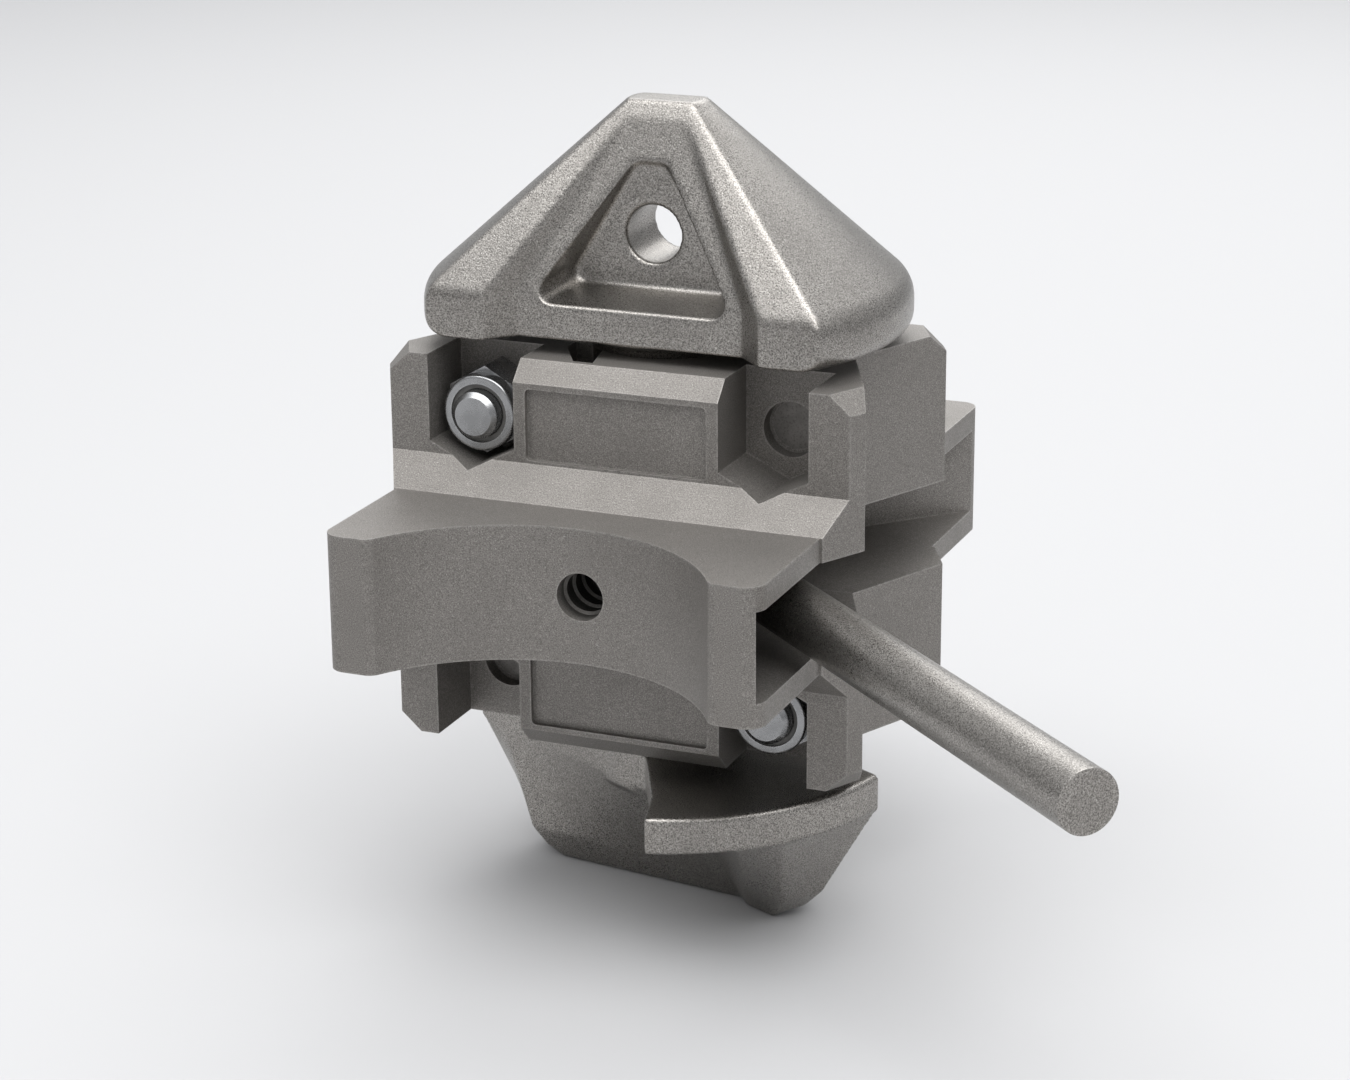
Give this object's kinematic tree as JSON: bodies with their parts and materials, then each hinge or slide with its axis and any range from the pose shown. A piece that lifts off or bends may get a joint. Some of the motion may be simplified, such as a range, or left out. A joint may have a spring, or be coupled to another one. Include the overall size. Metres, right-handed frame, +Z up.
{
  "type": "container twistlock",
  "caption": "Container twistlock: cast collar with a mid flange, a turning spindle with an upper cone and a lower nose, and a round handle rod in a side window.",
  "frame": {"origin": "centre of the flange's middle plane, on the spindle's axis", "axes": "+Z up along the spindle towards the upper cone, +X along the collar's length towards the handle's window, -Y towards the face with the threaded hole"},
  "size_m": [0.178, 0.1846, 0.1708],
  "materials": {
    "casting": "matte",
    "forging": "satin",
    "zinc": "satin",
    "steel": "satin",
    "nylon": "matte"
  },
  "bodies": {
    "housing": {"front_housing": "casting", "rear_housing": "casting", "upper_bolt": "zinc", "lower_bolt": "zinc", "upper_lock_nut": "zinc", "lower_lock_nut": "zinc", "upper_nut_insert": "nylon", "lower_nut_insert": "nylon", "upper_locating_pin": "steel", "lower_locating_pin": "steel", "thrust_ring": "steel", "return_spring": "steel"},
    "spindle": {"upper_spindle": "forging", "lower_nose": "forging", "handle_hub": "casting", "upper_hub_pin": "steel", "lower_hub_pin": "steel", "handle_rod": "forging", "rod_lock_pin": "steel", "drive_pin": "steel"}
  },
  "joints": [
    {"name": "spindle_turn", "type": "hinge", "parent": "housing", "child": "spindle", "pos_m": [0, 0, 0], "axis": [0, 0, 1], "range_deg": [0, 90], "stiffness_Nm_per_rad": 1.5, "springref_deg": -28.65}
  ]
}
